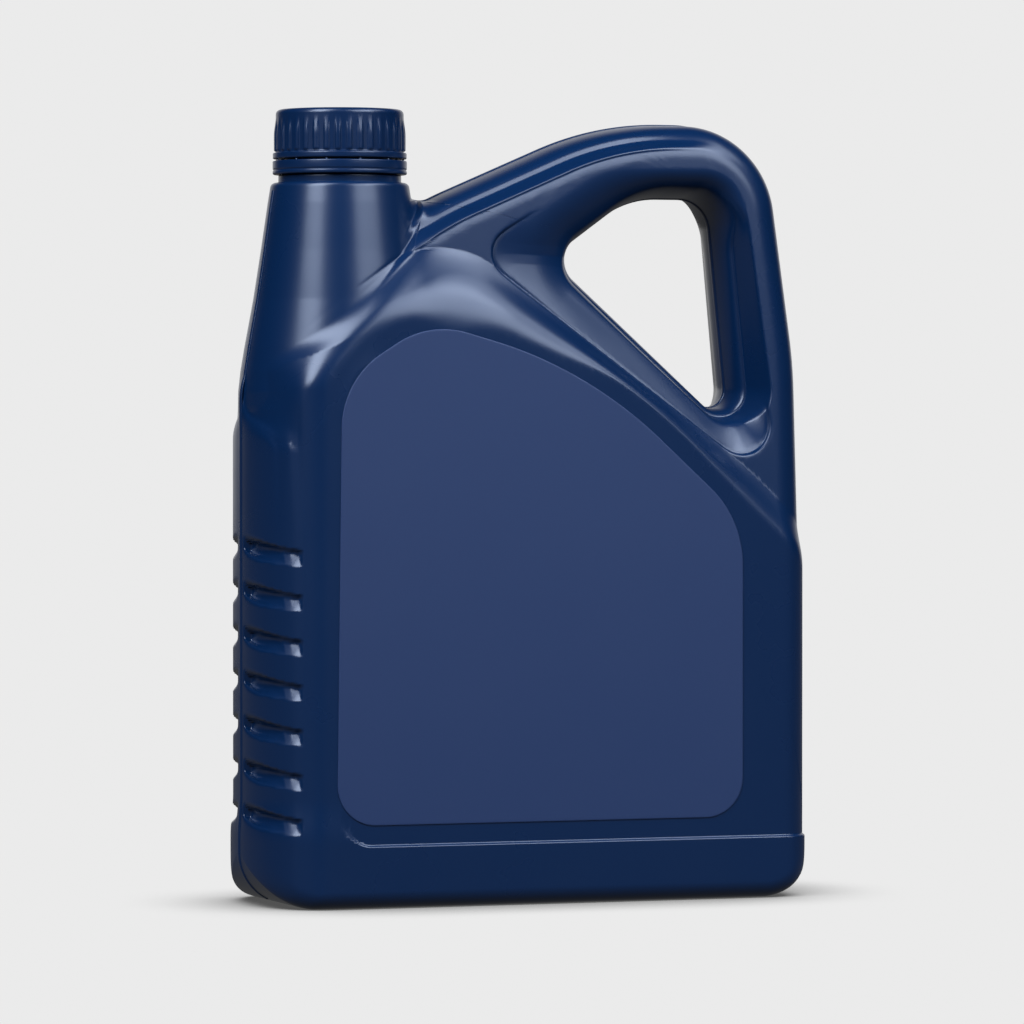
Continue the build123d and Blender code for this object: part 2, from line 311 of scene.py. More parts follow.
class StageSizes(bpy.types.PropertyGroup):
    """Light and backdrop."""
    light: bpy.props.FloatProperty(
        name="Light", description="Strength of the softboxes", default=1.0, min=0, max=10)
    backdrop: bpy.props.FloatProperty(
        name="Backdrop", description="Brightness of the backdrop", default=0.83, min=0, max=2)


def smooth_max(a, b, k):
    """Largest of two values, with the corner between them rounded over a range k."""
    k = np.maximum(k, 1e-6)
    return np.maximum(a, b) + np.maximum(k - np.abs(a - b), 0) ** 2 / (4 * k)


def smooth_min(a, b, k):
    """Smallest of two values, with the corner between them rounded over a range k."""
    return -smooth_max(-a, -b, k)


def ease(t):
    """0 below t = 0, 1 above t = 1 and 3t^2 - 2t^3 between."""
    t = np.clip(t, 0, 1)
    return t * t * (3 - 2 * t)


def fade(value, start, reach):
    """Eased step from 0 at start to 1 at start + reach."""
    return ease((value - start) / reach)


def quarter(t):
    """Quarter circle: 0 at t = 0, 1 from t = 1 on, upright at its start."""
    return np.sqrt(np.clip(1 - (1 - np.clip(t, 0, 1)) ** 2, 0, 1))


def soft_profile(points, blur):
    """Function through (t, value) points with rounded corners, odd about t = 0."""
    t, value = np.array(points, float).T
    step = 0.04
    grid = np.arange(-t[-1], 2 * t[-1], step)
    raw = np.sign(grid) * np.interp(np.abs(grid), t, value)
    offsets = np.arange(-4 * blur, 4 * blur + step, step)
    kernel = np.exp(-0.5 * (offsets / blur) ** 2)
    soft = np.convolve(raw, kernel / kernel.sum(), mode="same")
    kept = grid < t[-1]
    return lambda d: np.interp(d, grid[kept], soft[kept])


lip_height = soft_profile(LIP, LIP_BLUR)
cone_drop, cone_values = np.array(CONE).T


def cone_radius(z):
    """Radius of the shoulder cone at a height."""
    return np.interp(SHOULDER - z, cone_drop, cone_values)


def corner_frames(outline):
    """Unit edge normals (outward) and fillet centres of a convex outline of (x, z, radius)."""
    corners = np.array([point[:2] for point in outline], float)
    radii = np.array([point[2] for point in outline], float)
    along = np.roll(corners, -1, axis=0) - corners
    along /= np.linalg.norm(along, axis=1)[:, None]
    normals = np.stack([along[:, 1], -along[:, 0]], axis=1)
    if ((corners.mean(axis=0) - corners[0]) @ normals[0]) > 0:
        normals = -normals
    before = np.roll(normals, 1, axis=0)
    lift = radii / (1 + np.sum(before * normals, axis=1))
    centres = corners - (before + normals) * lift[:, None]
    return corners, radii, normals, before, centres


def inside(outline, x, z):
    """Distance inward from a convex outline with rounded corners; negative outside it."""
    corners, radii, normals, before, centres = corner_frames(outline)
    result = np.full(np.shape(x), np.inf)
    for corner, radius, n, m, centre in zip(corners, radii, normals, before, centres):
        result = np.minimum(result, -((x - corner[0]) * n[0] + (z - corner[1]) * n[1]))
        if radius:
            u, v = x - centre[0], z - centre[1]
            turn = m[0] * n[1] - m[1] * n[0]
            past_first = (m[0] * v - m[1] * u) * turn > 0
            before_last = (u * n[1] - v * n[0]) * turn > 0
            ahead = u * (m[0] + n[0]) + v * (m[1] + n[1]) > 0
            arc = radius - np.hypot(u, v)
            result = np.where(past_first & before_last & ahead, np.minimum(result, arc), result)
    return result


def soft_inside(outline, x, z, reach):
    """The same distance, averaged over a small cross, so that it has no folds inside the outline."""
    shifts = [(0, 0), (reach, 0), (-reach, 0), (0, reach), (0, -reach)]
    return sum(inside(outline, x + dx, z + dz) for dx, dz in shifts) / 5


def outline_loop(outline, step):
    """Points along a rounded outline, about one step apart, starting at its first corner."""
    _, radii, normals, before, centres = corner_frames(outline)
    points = []
    for radius, n, m, centre in zip(radii, normals, before, centres):
        angle = math.acos(np.clip(m @ n, -1, 1))
        count = max(int(radius * angle / step), 1)
        for i in range(count + 1):
            share = i / count
            side = m * math.sin((1 - share) * angle) + n * math.sin(share * angle)
            side = side / max(np.linalg.norm(side), 1e-9)
            points.append(centre + side * radius)
    loop = np.array(points)
    return resample(np.vstack([loop, loop[:1]]), step)


def resample(path, step):
    """Points one step apart along a path of (x, z) points; the last one is left out."""
    lengths = np.concatenate([[0], np.cumsum(np.linalg.norm(np.diff(path, axis=0), axis=1))])
    count = max(int(round(lengths[-1] / step)), 2)
    at = np.linspace(0, lengths[-1], count + 1)[:-1]
    return np.stack([np.interp(at, lengths, path[:, i]) for i in range(2)], axis=1)


def round_side(s, depth, radius):
    """Half depth at a distance s in from the right side, whose upright corners are round."""
    return (depth - radius) * np.clip(s / KEEL, 0, 1) + radius * quarter((s - KEEL) / radius)


def side_section(x, z, arch, depth_scale):
    """Half depth of the horizontal section: half an ellipse with grooves on the left."""
    t = x + HALF_WIDTH
    ellipse = SIDE_ELLIPSE + (HALF_DEPTH - SIDE_ELLIPSE) * fade(z, *ROUNDER_Z)
    left = HALF_DEPTH * quarter(t / ellipse)
    floor = np.minimum(np.interp(t, *np.array(GROOVE_FLOOR, float).T), left)
    pitch = (GROOVE_TOP - GROOVE_LOW) / (GROOVES - 1)
    share = np.clip(left / GROOVE_END, 0, 1)
    level = z + GROOVE_DROP * share
    nearest = np.clip(np.round((GROOVE_TOP - level) / pitch), 0, GROOVES - 1)
    off = level - (GROOVE_TOP - nearest * pitch)
    half = GROOVE_TALL + (GROOVE_END_TALL - GROOVE_TALL) * share
    roof = ease((half - off) / GROOVE_ROOF + 0.1)
    sill = ease((half + off) / GROOVE_SILL + 0.05)
    slope = np.clip((half + off) / (GROOVE_SLOPE * half), 0, 1)
    depth = roof * (sill + (slope - sill) * fade(share, *GROOVE_TILT)) * depth_scale
    left = left - depth * (left - floor)
    return np.where(x < 0, left, round_side(arch, HALF_DEPTH, RIGHT_ROUND))


def proud(x, z, step):
    """How far the surface stands out of the walls: the plinth and the soft step over it."""
    dx = x - LEDGE_LEFT
    dz = z - FOOT_HEIGHT
    curl = LEDGE_CURL - np.hypot(LEDGE_CURL - dx, LEDGE_CURL - dz)
    inward = np.where((dx < LEDGE_CURL) & (dz < LEDGE_CURL), curl, np.minimum(dx, dz))
    blur = LEDGE_BLUR + LEDGE_SOFTER * ease((dz - 1) / 5)
    return step * (1 - ease(inward / blur + 0.5)) * (1 - ease((dz - 1) / LEDGE_FADE))


def reaches(x, z):
    """Distances inward from the arch's outline and from the cone's, with the valley filled."""
    arch = inside(body_outline, x, z)
    cone = cone_radius(z) - np.abs(x - NECK_X)
    k = VALLEY * np.clip((VALLEY_TOP - z) / VALLEY_START, 0, 1) * (x > NECK_X)
    k = np.maximum(k, 1e-6)
    fill = np.maximum(k - np.abs(arch - cone), 0) ** 2 / (4 * k)
    fill = fill * (1 - ease(np.maximum(arch, cone) / VALLEY_FADE))
    return arch + fill, cone + fill


def silhouette(x, z):
    """Distance inward from the front view's outline, the underside left out."""
    arch, cone = reaches(x, z)
    return np.maximum(arch, cone)


def slab_face(z):
    """Half depth of the upper slab's face, which leans inward towards the arch's top."""
    return SLAB_LOW + np.maximum(z - ARCH_TOP + SLAB_DROP, 0) / SLAB_DROP * (SLAB_TOP - SLAB_LOW)


def upper_slab(x, z, arch):
    """Half depth of the slab: a stepped lip along the arch, and a round grip on the right."""
    face = slab_face(z)
    grip = fade(x, *GRIP_X)
    lipped = (face - LIP_STEP) * quarter(arch / LIP_ROUND) + lip_height(arch)
    slab = (1 - grip) * np.where(arch > 0, lipped, 0) + grip * round_side(arch, face, GRIP_ROUND)
    return slab * (1 - (1 - fade(x, *BESIDE_CONE_X)) * fade(z, *CONE_FOOT_Z))


def crease(distance):
    """Depth of the fine crease at a distance from its line: a bell curve."""
    return CREASE_DEEP * np.exp(-(distance / CREASE_WIDE) ** 2)


def hollowed(slab, x, z):
    """The slab with the hollow cut into it.

    The floor falls from the hollow's outline to the hole as a power curve, like a funnel. Over
    the hole it is a quarter circle and a parabola instead, so the arch is round like a tube.
    """
    to_hole = -inside(hole_outline, x, z)
    to_hollow = soft_inside(hollow_outline, x, z, HOLLOW_SOFT)
    share = np.clip(to_hole / np.maximum(to_hole + to_hollow, 4), 0, None)
    round_over = fade(x, *TUBE_X) * fade(z + TUBE_TILT * (x - TUBE_MIDDLE), *TUBE_Z)
    round_over = round_over * (1 - fade(x, *TUBE_END_X) * (1 - fade(z, *TUBE_END_Z)))
    bent = np.where(share < 1, share ** FUNNEL_BEND, share)
    funnel = HOLE_HALF + (slab_face(z) - HOLLOW_STEP - HOLE_HALF) * bent
    funnel = funnel - HOLLOW_EXIT * np.minimum(to_hollow, 0)
    wall = (HOLE_HALF + 2) * quarter(to_hole / HOLE_ROUND)
    wall = wall + np.maximum(to_hole - HOLE_ROUND, 0) * HOLE_SLOPE
    rim = quarter(to_hole / 6)
    funnel = smooth_min(funnel, wall, 4 * rim)
    tube = HOLE_HALF * quarter(to_hole / TUBE_ROUND)
    tube = tube + (slab - HOLE_HALF) * (1 - (1 - np.minimum(share, 1)) ** 2)
    funnel = funnel + (tube - funnel) * round_over
    slab = smooth_min(slab, funnel, 1.6 * (1 - round_over) * rim)
    return slab - crease(to_hollow) * (1 - round_over)


def cone_section(x, z, cone):
    """Half depth of the round cone: a circle whose radius grows with the filled valley."""
    radius = cone_radius(z)
    grown = radius + cone - (radius - np.abs(x - NECK_X))
    return np.sqrt(np.maximum(grown ** 2 - (x - NECK_X) ** 2, 0))


def on_side(x, z):
    """1 on the left side below the cone, where the front has no bevel, and 0 elsewhere."""
    return (1 - fade(z, *CONE_FOOT_Z)) * (1 - fade(x, *SIDE_X))


def bevel_rise(x, z, foot):
    """Share of the way up the bevel, from 0 at its foot to 1 on the face, with a round top."""
    share = foot / np.maximum(foot - inside(bevel_top, x, z), BEVEL_LEAST)
    share = share + (1 - np.minimum(share, 1)) * on_side(x, z)
    share = np.clip(share, 0, None)
    soft = fade(x, *SOFT_FRONT_X)
    share = share - BEVEL_SINK * soft * share * np.clip(1 - share, 0, 1) ** 2
    top_round = BEVEL_TOP_ROUND + BEVEL_TOP_SOFTER * (soft * (1 - fade(x, *SOFT_TOP_X)))
    return np.clip(smooth_min(share, 1, top_round), 0, 1)


def half_depth(x, z, sizes):
    """Half depth h of the moulding behind the point (x, z) of its front view.

    The slab with its hollow and the cone lie behind. The raised front stands on them as far as
    its bevel has risen, and the plinth's step and the rounding of the foot come last.
    """
    arch, cone = reaches(x, z)
    step = proud(x, z, sizes["ledge"])
    arch = arch + step
    in_walls = x * HALF_WIDTH / (HALF_WIDTH + step)
    section = side_section(in_walls, z, arch, sizes["groove_depth"] / GROOVE_DEPTH)
    slab = hollowed(upper_slab(x, z, arch), x, z)
    slab = smooth_min(slab, section, 2 * quarter(arch / 8))
    blend = CONE_BLEND * ease(np.maximum(arch, cone) / 10)
    behind = smooth_max(slab, cone_section(x, z, cone), blend)
    behind = smooth_min(behind, HALF_DEPTH - 0.3, 0.8)
    foot = inside(bevel_foot, x, z)
    rounded = np.minimum(section, HALF_DEPTH * quarter(arch / OUTLINE_ROUND))
    face = smooth_min(np.where(x < 0, rounded, section), HALF_DEPTH, 1.0)
    raised = smooth_max(face - behind, 0, FACE_ROUND) * bevel_rise(x, z, foot)
    form = np.minimum(behind + raised, HALF_DEPTH)
    creased = ease(arch / 12) * (1 - on_side(x, z)) * (1 - fade(x, *CREASE_X))
    form = form - crease(foot) * creased
    form = np.maximum(form, 0) + step * ease(arch / 4)
    return form - foot_rounding(x, z, form)


def foot_edge(x, z):
    """Distance above the underside, whose left and right ends are rounded up."""
    u = np.abs(x) - (PLINTH_HALF - FOOT_CORNER)
    v = z - FOOT_CORNER
    return np.where((u > 0) & (v < 0), FOOT_CORNER - np.hypot(u, v), z)


def foot_rounding(x, z, form):
    """How much the rounding under the front takes off the half depth.

    It fades out as the ends climb, and is never more than a share of the half depth.
    """
    u = np.maximum(np.abs(x) - (PLINTH_HALF - FOOT_CORNER), 0)
    climb = np.arctan2(u, np.maximum(FOOT_CORNER - z, 1e-6)) / (math.pi / 2)
    radius = np.minimum(FOOT_ROUND, 0.6 * form) * (1 - ease(np.clip(climb, 0, 1) * 1.15 - 0.15))
    return radius * (1 - quarter(foot_edge(x, z) / FOOT_ROUND))


JOIN = 0.0004              # distance at which two points of a mesh count as one


class Surface:
    """Collects points and faces, then makes one mesh with equal points joined."""

    def __init__(self):
        self.points = []
        self.normals = []
        self.faces = []
        self.count = 0

    def add(self, points, normals=None):
        """Add points (..., 3), with normals or none, and return their numbers in the same shape."""
        points = np.asarray(points, float)
        self.normals.append((points * 0 if normals is None else normals).reshape(-1, 3))
        numbers = np.arange(self.count, self.count + points[..., 0].size).reshape(points.shape[:-1])
        self.points.append(points.reshape(-1, 3))
        self.count += numbers.size
        return numbers

    def grid(self, numbers, closed=False, flip=False):
        """Faces between neighbouring rows and columns of a grid of point numbers."""
        if closed:
            numbers = np.hstack([numbers, numbers[:, :1]])
        a, b = numbers[:-1, :-1], numbers[:-1, 1:]
        c, d = numbers[1:, 1:], numbers[1:, :-1]
        order = (a, d, c, b) if flip else (a, b, c, d)
        self.faces.append(np.stack(order, axis=-1).reshape(-1, 4))

    def strip(self, first, second, flip=False):
        """Faces between two chains of points of different length."""
        place = np.concatenate(self.points)
        i = j = 0
        made = []
        while i < len(first) - 1 or j < len(second) - 1:
            step_first = j == len(second) - 1
            if i < len(first) - 1 and j < len(second) - 1:
                ahead = np.linalg.norm(place[first[i + 1]] - place[second[j]])
                other = np.linalg.norm(place[first[i]] - place[second[j + 1]])
                step_first = ahead < other
            if step_first:
                face = [first[i], first[i + 1], second[j]]
                i += 1
            else:
                face = [first[i], second[j + 1], second[j]]
                j += 1
            if flip:
                face.reverse()
            made.append(face + [face[-1]])
        self.faces.append(np.array(made))

    def make(self, name, material):
        """Make the object; points nearer than JOIN become one."""
        points = np.concatenate(self.points)
        normals = np.concatenate(self.normals)
        faces = np.concatenate(self.faces)
        keys = np.round(points / JOIN).astype(np.int64)
        _, first, where = np.unique(keys, axis=0, return_index=True, return_inverse=True)
        where = where.reshape(-1)
        faces = where[faces]
        points = points[first]
        normals = normals[first]
        loops = []
        starts = []
        at = 0
        for face in faces:
            kept = [v for i, v in enumerate(face) if v != face[i - 1]]
            if len(set(kept)) > 2 and len(set(kept)) == len(kept):
                starts.append(at)
                loops.extend(kept)
                at += len(kept)
        mesh = bpy.data.meshes.new(name)
        mesh.vertices.add(len(points))
        mesh.vertices.foreach_set("co", (points * MM).ravel())
        mesh.loops.add(len(loops))
        mesh.loops.foreach_set("vertex_index", loops)
        mesh.polygons.add(len(starts))
        mesh.polygons.foreach_set("loop_start", starts)
        mesh.update(calc_edges=True)
        mesh.validate()
        mesh.shade_smooth()
        if np.any(normals):
            mesh.normals_split_custom_set_from_vertices(normals)
        mesh.materials.append(material)
        thing = bpy.data.objects.new(name, mesh)
        bpy.context.scene.collection.objects.link(thing)
        return thing


# Layout of the skin's patches
STRIP_EDGE = -86.0         # the strip of dense columns on the left ends here, in X
PLINTH_TOP = 30.0          # rows run right across up to here
VALLEY_X = -44.2           # where the two upper patches meet the outline
VALLEY_INSIDE = 262.0      # a height inside the outline there
DIP_END = -29.0            # the points of the main patch are close together up to here, in X
DIP_INSIDE = 268.0         # a height inside the outline on that stretch
DIP_STEP = 0.9
ARCH_STEP = 1.4            # spacing of the points along the arch
ARCH_DENSE = 270.0         # below this height every other point is left out
CONE_FOOT = (-60.0, 246.0) # bends the curve between the cone and the main patch, as (x, z)
HOLE_MIDDLE = (60.0, 246.0)
CURVE_POINTS = 116
MAIN_ROWS = 80
ANGLE_SHARE = 0.62         # how much the main patch's lines go by angle rather than by length
LINE_SAMPLES = 1300        # places at which a line's shape is read
LINE_LENGTH = 5.0          # length that asks for as many rows as a turn of LINE_BEND radians
LINE_BEND = 0.11
LINE_KINK = 0.5            # a sharper turn counts as this much
LINE_SMOOTHING = 8
STEEP = 3.0                # past this slope, or nearer the parting line than PARTING_NEAR,
PARTING_NEAR = 2.0         # a normal is left to the faces
BY_STRIP, BY_CONE, ON_OUTLINE, BY_PLINTH = range(4)   # parts of the main patch's outer loop
NEAR = 1e-6


def edge_between(within, inner, outer):
    """Where a test stops holding between inner and outer places, by halving."""
    for _ in range(50):
        middle = (inner + outer) / 2
        held = within(middle)
        inner = np.where(held, middle, inner)
        outer = np.where(held, outer, middle)
    return (inner + outer) / 2


def zero_along_x(z, inner, outer):
    """Where the silhouette ends at each height, between an inner and an outer x."""
    return edge_between(lambda x: silhouette(x, z) > 0, np.full_like(z, inner), np.full_like(z, outer))


def zero_along_z(x, inner, outer):
    """Where the silhouette ends at each x, between an inner and an outer height."""
    return edge_between(lambda z: silhouette(x, z) > 0, np.full_like(x, inner), np.full_like(x, outer))


def strip_rows():
    """Heights of the left strip's rows, close together over the ledge and the grooves."""
    rows = [FOOT_ROUND * (1 - np.cos(np.linspace(0, math.pi / 2, 11)))]
    low = FOOT_ROUND
    for high, count in ((FOOT_HEIGHT - 1, 10), (FOOT_HEIGHT + 1, 9), (PLINTH_TOP, 5),
                        (GROOVE_TOP + 9, 150), (SIDE_TOP, 36), (RING_Z, 90)):
        rows.append(np.linspace(low, high, count)[1:])
        low = high
    return np.concatenate(rows)


def strip_columns():
    """Shares across the left strip, even along the ellipse of the side."""
    turn = np.linspace(0, math.pi / 2, 50)
    across = SIDE_ELLIPSE * (1 - np.cos(turn))
    width = STRIP_EDGE + HALF_WIDTH
    return np.append(across, [(SIDE_ELLIPSE + width) / 2, width]) / width


def strip_ends(z):
    """Left and right end of the strip at each height."""
    left = -HALF_WIDTH - proud(np.full_like(z, -HALF_WIDTH), z, FOOT_STEP)
    upper = z > SIDE_TOP - 15
    left[upper] = zero_along_x(z[upper], NECK_X, -HALF_WIDTH - 5)
    corner = z < FOOT_CORNER
    drop = FOOT_CORNER - z[corner]
    left[corner] = -(PLINTH_HALF - FOOT_CORNER) - np.sqrt(np.maximum(FOOT_CORNER ** 2 - drop ** 2, 0))
    angle = (STRIP_EDGE - NECK_X) / cone_radius(SIDE_TOP)
    share = np.clip((z - SIDE_TOP) / (RING_Z - SIDE_TOP), 0, 1)
    right = STRIP_EDGE + share * (NECK_X + angle * cone_radius(RING_Z) - STRIP_EDGE)
    return left, right


def plinth_plan(z):
    """Points (x, z) of the rows across the plinth, close together at both ends."""
    right = HALF_WIDTH + proud(np.full_like(z, HALF_WIDTH), z, FOOT_STEP)
    corner = z < FOOT_CORNER
    drop = FOOT_CORNER - z[corner]
    right[corner] = PLINTH_HALF - FOOT_CORNER + np.sqrt(FOOT_CORNER ** 2 - drop ** 2)
    width = right[-1] - STRIP_EDGE
    bend = width - 19.0
    curl_part = np.linspace(2.0, 14.0, 22)
    middle = np.linspace(14.0, bend, 58)[1:]
    corner_part = bend + 19.0 * np.sin(np.linspace(0, math.pi / 2, 30)[1:])
    across = np.concatenate([[0], curl_part, middle, corner_part]) / width
    x = STRIP_EDGE + (right - STRIP_EDGE)[:, None] * across
    return x, np.repeat(z[:, None], len(across), axis=1)


def valley_curve(count):
    """Points from the strip's edge across the cone's foot to the valley: a quadratic curve."""
    t = np.sin(np.linspace(0, math.pi / 2, count))[:, None]
    start = np.array([STRIP_EDGE, SIDE_TOP])
    end = np.array([VALLEY_X, zero_along_z(np.array([VALLEY_X]), VALLEY_INSIDE, RING_Z)[0]])
    return (1 - t) ** 2 * start + 2 * t * (1 - t) * np.array(CONE_FOOT) + t ** 2 * end


def outer_loop(curve, bottom):
    """Front view boundary of the main patch, clockwise from its lower left corner."""
    heights = np.linspace(PLINTH_TOP, SIDE_TOP - 3, 60)
    left = np.stack([np.full_like(heights, bottom[1, 0]), heights], axis=1)
    across = np.arange(VALLEY_X + DIP_STEP, DIP_END, DIP_STEP)
    dip = np.stack([across, zero_along_z(across, DIP_INSIDE, RING_Z + 4)], axis=1)
    whole = outline_loop(body_outline, ARCH_STEP)
    start = int(np.argmax(whole[:, 0] > across[-1] + 1.2))
    arch = whole[start:]
    arch = arch[:int(np.argmax(arch[:, 1] < PLINTH_TOP + 0.9))]
    arch = arch[(arch[:, 1] > ARCH_DENSE) | (np.arange(len(arch)) % 2 == 0)]
    arch[:, 0] += proud(arch[:, 0], arch[:, 1], FOOT_STEP) * (arch[:, 0] > HOLE_MIDDLE[0])
    loop = np.vstack([left, curve, dip, arch, bottom[:1:-1]])
    lengths = (len(left), len(curve), len(dip) + len(arch) + 1, len(bottom) - 3)
    return loop, np.repeat((BY_STRIP, BY_CONE, ON_OUTLINE, BY_PLINTH), lengths)


def hole_points(loop):
    """A point of the handle hole's outline for each point of the outer loop.

    Its place is a mix of the one at the same angle and the one at the same share of the way round.
    """
    hole = outline_loop(hole_outline, 0.25)

    def angles(points):
        turn = np.arctan2(points[:, 1] - HOLE_MIDDLE[1], points[:, 0] - HOLE_MIDDLE[0])
        return np.unwrap(turn)

    outer = angles(loop)
    inner = angles(hole)
    if inner[-1] > inner[0]:
        hole = hole[::-1]
        inner = angles(hole)
    lengths = np.linspace(0, 1, len(hole) + 1)[:-1]
    turns = 2 * math.pi
    span = np.concatenate([inner + turns, inner, inner - turns, inner - 2 * turns])
    share = np.concatenate([lengths - 1, lengths, lengths + 1, lengths + 2])
    by_angle = np.interp(-outer, -span, share)
    steps = np.linalg.norm(np.diff(loop, axis=0, append=loop[:1]), axis=1)
    by_length = np.concatenate([[0], np.cumsum(steps)[:-1]]) / steps.sum()
    by_length += by_angle.mean() - by_length.mean()
    where = (ANGLE_SHARE * by_angle + (1 - ANGLE_SHARE) * by_length) % 1
    closed = np.vstack([hole, hole[:1]])
    at = np.linspace(0, 1, len(closed))
    return np.stack([np.interp(where, at, closed[:, i]) for i in range(2)], axis=1)


def graded_lines(outer, inner, count, sizes):
    """Shares along each line from outer to inner, closer together where the surface turns."""
    dense = (1 - np.cos(np.linspace(0, math.pi, LINE_SAMPLES))) / 2
    x = outer[:, :1] + (inner[:, :1] - outer[:, :1]) * dense
    z = outer[:, 1:] + (inner[:, 1:] - outer[:, 1:]) * dense
    step = np.diff(front_points(x, z, sizes), axis=1)
    length = np.maximum(np.linalg.norm(step, axis=-1), 1e-9)
    way = step / length[..., None]
    bend = np.linalg.norm(np.diff(way, axis=1), axis=-1)
    bend = np.minimum(np.concatenate([bend, bend[:, -1:] * 0], axis=1), LINE_KINK)
    weight = length / LINE_LENGTH + bend / LINE_BEND
    total = np.concatenate([np.zeros((len(weight), 1)), np.cumsum(weight, axis=1)], axis=1)
    total /= total[:, -1:]
    wanted = np.linspace(0, 1, count)
    shares = np.stack([np.interp(wanted, row, dense) for row in total])
    for _ in range(LINE_SMOOTHING):
        shares = (np.roll(shares, 1, axis=0) + 2 * shares + np.roll(shares, -1, axis=0)) / 4
    shares[:, 0], shares[:, -1] = 0, 1
    return shares


def front_points(x, z, sizes):
    """Points of the front surface."""
    return np.stack([x, -half_depth(x, z, sizes), z], axis=-1)


def front_normals(points, sizes):
    """Unit normals of the front surface, or zero where it is too steep for its front view."""
    x, z = points[..., 0], points[..., 2]
    reach = 0.3
    across = (half_depth(x + reach, z, sizes) - half_depth(x - reach, z, sizes)) / (2 * reach)
    up = (half_depth(x, z + reach, sizes) - half_depth(x, z - reach, sizes)) / (2 * reach)
    normals = np.stack([-across, -np.ones_like(x), -up], axis=-1)
    size = np.linalg.norm(normals, axis=-1, keepdims=True)
    sound = (size < STEEP) & (points[..., 1:2] < -PARTING_NEAR)
    return np.where(sound, normals / size, 0)


def base_height(x, y):
    """Rise of the underside inside its standing rim."""
    u = np.abs(x) - (HALF_WIDTH - FOOT_CORNER - RIM - PUSH_UP_CORNER)
    v = np.abs(y) - (HALF_DEPTH - FOOT_ROUND - RIM - PUSH_UP_CORNER)
    edge = PUSH_UP_CORNER - np.where((u > 0) & (v > 0), np.hypot(u, v), np.maximum(u, v))
    return PUSH_UP * ease(edge / PUSH_UP_SLOPE)


def strip_patch(rows, sizes):
    """The strip on the left, from the foot to the top of the cone."""
    left, right = strip_ends(rows)
    shares = strip_columns()
    x = left[:, None] + (right - left)[:, None] * shares
    z = np.repeat(rows[:, None], len(shares), axis=1)
    strip = front_points(x, z, sizes)
    strip[rows >= FOOT_CORNER, 0, 1] = 0
    return strip


def plinth_patch(rows, strip, sizes):
    """The plinth in front, from the strip to the right end."""
    x, z = plinth_plan(rows)
    plinth = front_points(x, z, sizes)
    plinth[:, 0] = strip[:len(rows), -1]
    plinth[rows >= FOOT_CORNER, -1, 1] = 0
    return plinth


def cone_patch(rows, curve, strip, sizes):
    """The front of the cone, from the curve at its foot up to its top."""
    start = math.asin((STRIP_EDGE - NECK_X) / cone_radius(SIDE_TOP))
    turns = start + (math.pi / 2 - start) * np.sin(np.linspace(0, math.pi / 2, len(curve)))
    ring = cone_radius(RING_Z)
    top = np.stack([NECK_X + ring * np.sin(turns), np.full_like(turns, RING_Z)], axis=1)
    climb = ((rows - SIDE_TOP) / (RING_Z - SIDE_TOP))[:, None, None]
    plan = curve + (top - curve) * climb
    plan[:, -1, 0] = zero_along_x(plan[:, -1, 1], VALLEY_X - 6, VALLEY_X + 4)
    plan[-1, -1] = top[-1]
    cone = front_points(plan[..., 0], plan[..., 1], sizes)
    cone[:, 0] = strip[-len(rows):, -1]
    cone[:, -1, 1] = 0
    return cone


def main_patch(loop, kinds, cone, sizes):
    """The main face, from its outer loop in to the handle hole."""
    inner = hole_points(loop)
    share = graded_lines(loop, inner, MAIN_ROWS, sizes)
    x = loop[:, :1] + (inner[:, :1] - loop[:, :1]) * share
    z = loop[:, 1:] + (inner[:, 1:] - loop[:, 1:]) * share
    main = front_points(x, z, sizes)
    main[kinds == ON_OUTLINE, 0, 1] = 0
    main[:, -1, 1] = 0
    main[kinds == BY_CONE, 0] = cone[0]
    return main


def shoulder_patch(strip, cone):
    """Rings from the top of the cone, rounded over and in to the neck's collar."""
    rim = np.vstack([strip[-1], cone[-1, 1:]])
    angle = np.arctan2(rim[:, 0] - NECK_X, -rim[:, 1])
    turn = np.linspace(0, math.pi / 2, 7)[1:]
    radius = np.append(cone_radius(RING_Z) - SHOULDER_ROUND * (1 - np.cos(turn)), RING_RADIUS - 1)
    height = np.append(RING_Z + SHOULDER_ROUND * np.sin(turn), SHOULDER)
    rings = np.stack([
        NECK_X + radius[:, None] * np.sin(angle),
        -radius[:, None] * np.cos(angle),
        np.repeat(height[:, None], len(angle), axis=1)], axis=-1)
    return np.concatenate([rim[None], rings])


def base_patch(rows, strip, plinth):
    """The underside, as lines from the front edge to the back one."""
    corner = rows <= FOOT_CORNER
    chain = np.vstack([
        strip[corner, 0][::-1], strip[0, 1:], plinth[0, 1:], plinth[corner[:len(plinth)], -1][1:]])
    even = np.linspace(-1, 1, 31)
    across = np.sin(even * math.pi / 2) * 0.5 + even * 0.5
    across[0], across[-1] = -1, 1
    base = np.repeat(chain[:, None], len(across), axis=1)
    base[..., 1] = -chain[:, 1:2] * across
    base[..., 2] += base_height(base[..., 0], base[..., 1]) * (np.abs(across) < 1)
    return base


